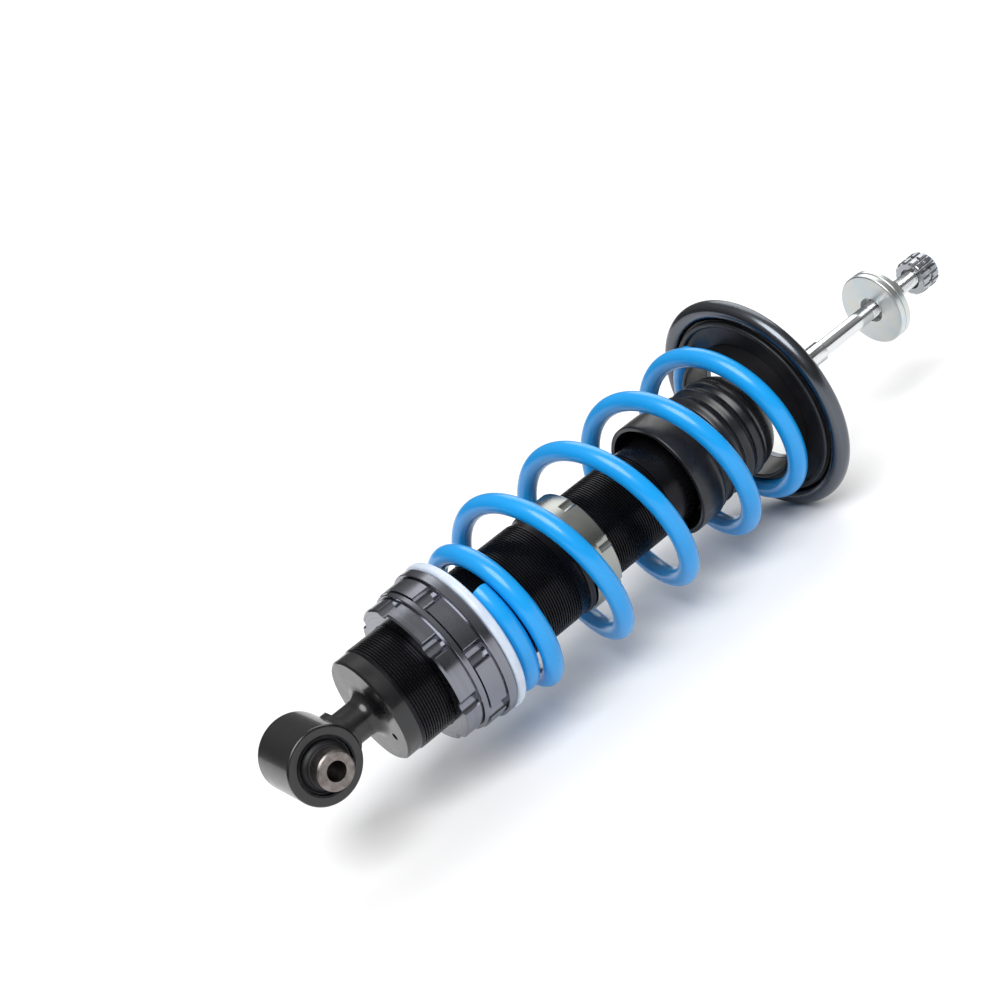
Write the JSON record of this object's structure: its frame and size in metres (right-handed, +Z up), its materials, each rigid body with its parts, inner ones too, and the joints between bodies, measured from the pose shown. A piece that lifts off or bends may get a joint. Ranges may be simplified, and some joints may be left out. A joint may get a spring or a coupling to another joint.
{
  "type": "coilover strut",
  "caption": "Adjustable coilover suspension strut: threaded lower sleeve with bushed eye, blue coil spring between collar seat and upper seat, damper rod with washers, nut and damping knob.",
  "frame": {"origin": "centre of the lower eye's bore, on the strut's axis", "axes": "+X along the strut from the lower eye to the adjuster knob; +Y along the lower eye's bore; +Z up, square to both, with the strut lying on its side"},
  "size_m": [0.4933, 0.131, 0.131],
  "materials": {
    "gloss_black_paint": "gloss",
    "satin_black_coat": "satin",
    "spring_blue": "gloss",
    "gunmetal_anodised": "satin anodised",
    "seat_gunmetal": "gloss",
    "silver_anodised": "brushed anodised",
    "chrome_rod": "polished",
    "zinc_plate": "passivated",
    "bush_steel": "machined",
    "plain_steel": "machined",
    "turned_aluminium": "turned",
    "black_rubber": "matt",
    "bump_foam": "matt",
    "pale_plastic": "satin",
    "black_plastic": "satin",
    "cap_blue": "gloss",
    "ptfe_band": "matt",
    "shim_steel": "bright",
    "dark_knob": "anodised"
  },
  "bodies": {
    "lower_mount": {"lower_eye": "gloss_black_paint", "eye_weld": "gloss_black_paint", "base_cap": "gloss_black_paint", "lower_sleeve": "satin_black_coat", "sleeve_end_seal": "black_rubber", "bush_outer_sleeve": "plain_steel", "bush_rubber": "black_rubber"},
    "bush_core": {"bush_inner_sleeve": "bush_steel"},
    "spring_base": {"spring_isolator": "pale_plastic", "coil_spring": "spring_blue"},
    "perch_body": {"spring_perch": "gunmetal_anodised"},
    "lock_ring_body": {"lock_ring": "gunmetal_anodised"},
    "collar_body": {"body_lock_collar": "silver_anodised"},
    "damper": {"damper_body": "satin_black_coat", "base_plug": "plain_steel", "gas_valve": "plain_steel", "gland": "turned_aluminium", "gland_o_ring": "black_rubber", "rod_seal": "black_rubber", "rod_wiper": "black_rubber", "retaining_ring": "plain_steel"},
    "floating_piston_body": {"floating_piston": "turned_aluminium", "floating_piston_ring": "black_rubber"},
    "rod": {"piston_rod": "chrome_rod", "piston": "turned_aluminium", "piston_band": "ptfe_band", "compression_shims": "shim_steel", "rebound_shims": "shim_steel", "piston_nut": "plain_steel", "rebound_stop": "black_rubber", "dust_boot": "black_rubber", "bump_stop": "bump_foam"},
    "seat": {"upper_seat": "seat_gunmetal", "seat_pad": "black_rubber", "seat_guide": "black_plastic"},
    "upper_washer_body": {"upper_washer": "zinc_plate"},
    "lower_washer_body": {"lower_washer": "zinc_plate"},
    "nut_body": {"flange_nut": "zinc_plate"},
    "knob_body": {"adjuster_knob": "dark_knob", "knob_cap": "cap_blue", "knob_set_screw": "plain_steel", "adjuster_rod": "plain_steel"}
  },
  "joints": [
    {"name": "bush_twist", "type": "hinge", "parent": "lower_mount", "child": "bush_core", "pos_m": [0, 0, 0], "axis": [0, 1, 0], "range_deg": [-12, 12], "stiffness_Nm_per_rad": 0.4},
    {"name": "preload_slide", "type": "slide", "parent": "lower_mount", "child": "spring_base", "axis": [1, 0, 0], "range_m": [-0.0092, 0.0182]},
    {"name": "perch_turn", "type": "hinge", "parent": "spring_base", "child": "perch_body", "pos_m": [0.088, 0, 0], "axis": [1, 0, 0], "range_deg": [-2160, 4320]},
    {"name": "lock_ring_turn", "type": "hinge", "parent": "spring_base", "child": "lock_ring_body", "pos_m": [0.073, 0, 0], "axis": [1, 0, 0], "range_deg": [-2160, 4320]},
    {"name": "collar_turn", "type": "hinge", "parent": "lower_mount", "child": "collar_body", "pos_m": [0.1735, 0, 0], "axis": [1, 0, 0], "range_deg": [-30, 720]},
    {"name": "height_slide", "type": "slide", "parent": "lower_mount", "child": "damper", "axis": [1, 0, 0], "range_m": [-0.005, 0.03]},
    {"name": "rod_stroke", "type": "slide", "parent": "damper", "child": "rod", "axis": [1, 0, 0], "range_m": [-0.047, 0], "stiffness_N_per_m": 400, "springref_m": 0.03},
    {"name": "floating_piston_slide", "type": "slide", "parent": "damper", "child": "floating_piston_body", "axis": [1, 0, 0], "range_m": [-0.0035, 0]},
    {"name": "seat_stroke", "type": "slide", "parent": "spring_base", "child": "seat", "axis": [1, 0, 0], "range_m": [-0.047, 0], "deforming": ["coil_spring"]},
    {"name": "washer_slide", "type": "slide", "parent": "rod", "child": "upper_washer_body", "axis": [1, 0, 0], "range_m": [-0.0152, 0.0027]},
    {"name": "lower_washer_slide", "type": "slide", "parent": "upper_washer_body", "child": "lower_washer_body", "axis": [1, 0, 0], "range_m": [-0.018, 0]},
    {"name": "nut_turn", "type": "hinge", "parent": "upper_washer_body", "child": "nut_body", "pos_m": [0.437, 0, 0], "axis": [1, 0, 0], "range_deg": [-4320, 720]},
    {"name": "knob_turn", "type": "hinge", "parent": "rod", "child": "knob_body", "pos_m": [0.465, 0, 0], "axis": [1, 0, 0], "range_deg": [-540, 540]}
  ],
  "couplings": [
    {"joint": "preload_slide", "follows": "perch_turn", "m_per_rad": 0.00023873},
    {"joint": "lock_ring_turn", "follows": "perch_turn", "ratio": 1},
    {"joint": "floating_piston_slide", "follows": "rod_stroke", "ratio": 0.073842},
    {"joint": "seat_stroke", "follows": "rod_stroke", "ratio": 1},
    {"joint": "washer_slide", "follows": "nut_turn", "m_per_rad": 0.00019894}
  ]
}
